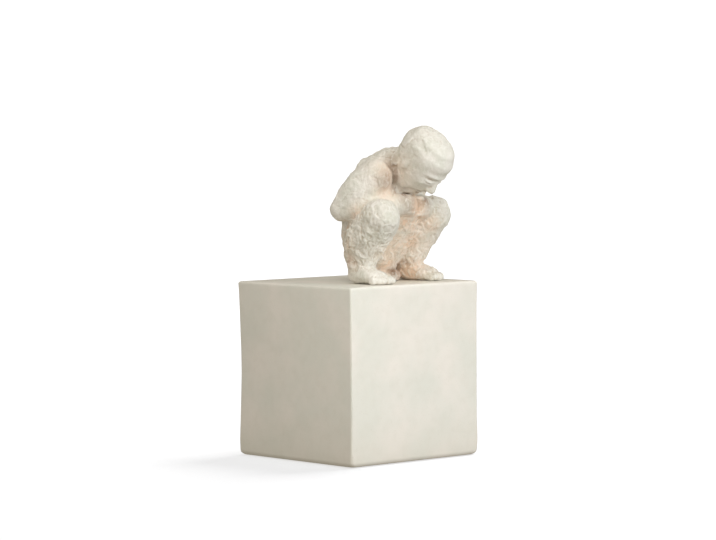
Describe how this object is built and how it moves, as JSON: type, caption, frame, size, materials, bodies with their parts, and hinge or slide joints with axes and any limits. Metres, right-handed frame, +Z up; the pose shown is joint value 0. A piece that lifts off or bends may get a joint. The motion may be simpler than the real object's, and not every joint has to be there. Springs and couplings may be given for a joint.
{
  "type": "ceramic figurine",
  "caption": "Crouching hand-modelled clay figure with bowed head, stuck near the edge of a plain hollow stoneware cube plinth that stands on felt.",
  "frame": {"origin": "under the middle of the plinth, on the surface that the felt stands on", "axes": "+Z up; the figure looks over the plinth's -Y edge and its left side is towards +X"},
  "size_m": [0.115, 0.1306, 0.222],
  "materials": {
    "stoneware": "smooth, satin matt, warm off-white",
    "bisque_clay": "rough, dabbed on in small pats, matt, blushed in the hollows",
    "felt": "pressed wool felt"
  },
  "bodies": {
    "root": {"plinth_shell": "stoneware", "plinth_base": "stoneware", "base_felt": "felt", "torso": "bisque_clay", "head": "bisque_clay", "right_thigh": "bisque_clay", "left_thigh": "bisque_clay", "right_shin": "bisque_clay", "left_shin": "bisque_clay", "right_foot": "bisque_clay", "left_foot": "bisque_clay", "right_upper_arm": "bisque_clay", "left_upper_arm": "bisque_clay", "right_forearm": "bisque_clay", "left_forearm": "bisque_clay"}
  },
  "joints": []
}
